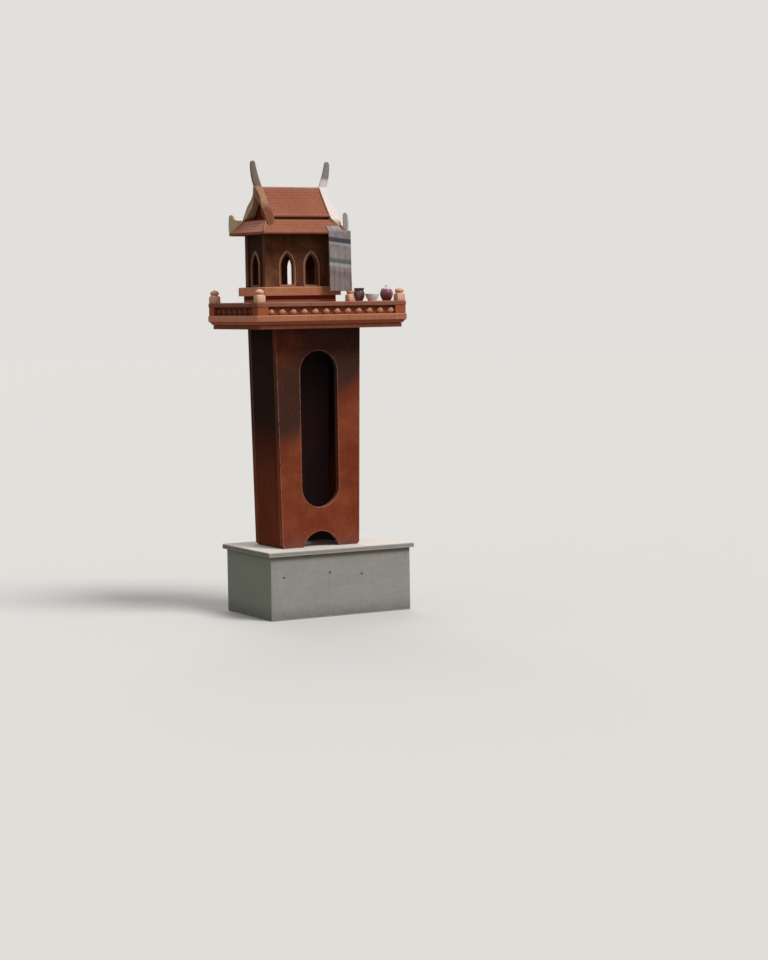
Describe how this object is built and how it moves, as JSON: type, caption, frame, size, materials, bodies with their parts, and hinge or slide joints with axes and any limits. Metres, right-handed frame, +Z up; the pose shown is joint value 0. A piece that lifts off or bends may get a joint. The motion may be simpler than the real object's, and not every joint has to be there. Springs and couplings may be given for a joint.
{
  "type": "spirit house on a pedestal",
  "caption": "Small shrine house with a two-tier gabled roof on a terrace platform with lotus petals, over a slotted pedestal and a rendered plinth.",
  "frame": {"origin": "on the ground under the middle of the pedestal; the plinth reaches further towards +X than -X", "axes": "+Z up; +X along the ridge towards the doorway end and the open terrace; -Y is the long side with two windows and the hung cloth"},
  "size_m": [1.016, 0.664, 2.652],
  "materials": {
    "white_render": "pale trowelled cement render, weathered",
    "red_paint": "brick-red masonry paint on cast concrete, faded",
    "dark_red_paint": "darker red masonry paint in the recesses",
    "petal_paint": "lighter terracotta paint on the raised ornaments",
    "brown_paint": "dark red-brown masonry paint",
    "roof_paint": "faded terracotta paint over cast tiles",
    "cream_paint": "weathered cream paint",
    "white_paint": "white paint, slightly soiled",
    "white_cloth": "thin washed cotton, white with dark bands",
    "brown_glaze": "brown glaze",
    "white_glaze": "white glaze, dusty",
    "red_glaze": "dark red glaze, the lid pale"
  },
  "bodies": {
    "root": {"plinth_body": "white_render", "plinth_cap": "white_render", "pedestal_near_panel": "red_paint", "pedestal_far_panel": "red_paint", "pedestal_rear_panel": "red_paint", "pedestal_front_panel": "red_paint", "platform_lower_course": "red_paint", "platform_slab": "red_paint", "platform_neck": "dark_red_paint", "deck": "red_paint", "petals_near": "petal_paint", "petals_front": "petal_paint", "petals_far": "petal_paint", "petals_rear": "petal_paint", "corner_posts": "petal_paint", "house_foot": "dark_red_paint", "house_base": "red_paint", "pilasters": "brown_paint", "near_wall": "brown_paint", "far_wall": "brown_paint", "rear_wall": "brown_paint", "front_wall": "brown_paint", "near_window_frames": "brown_paint", "far_window_frames": "brown_paint", "rear_window_frames": "brown_paint", "doorway_frame": "brown_paint", "skirt_roof": "roof_paint", "tier_band": "dark_red_paint", "near_roof_slope": "roof_paint", "far_roof_slope": "roof_paint", "rear_gable": "brown_paint", "front_gable": "brown_paint", "ridge_cap": "roof_paint", "rear_near_bargeboard": "cream_paint", "rear_far_bargeboard": "cream_paint", "front_near_bargeboard": "white_paint", "front_far_bargeboard": "white_paint", "rear_horn": "cream_paint", "front_horn": "cream_paint", "rear_finial": "cream_paint", "front_finials": "cream_paint", "hung_cloth": "white_cloth", "incense_pot": "brown_glaze", "offering_dish": "white_glaze", "offering_jar": "red_glaze"}
  },
  "joints": []
}
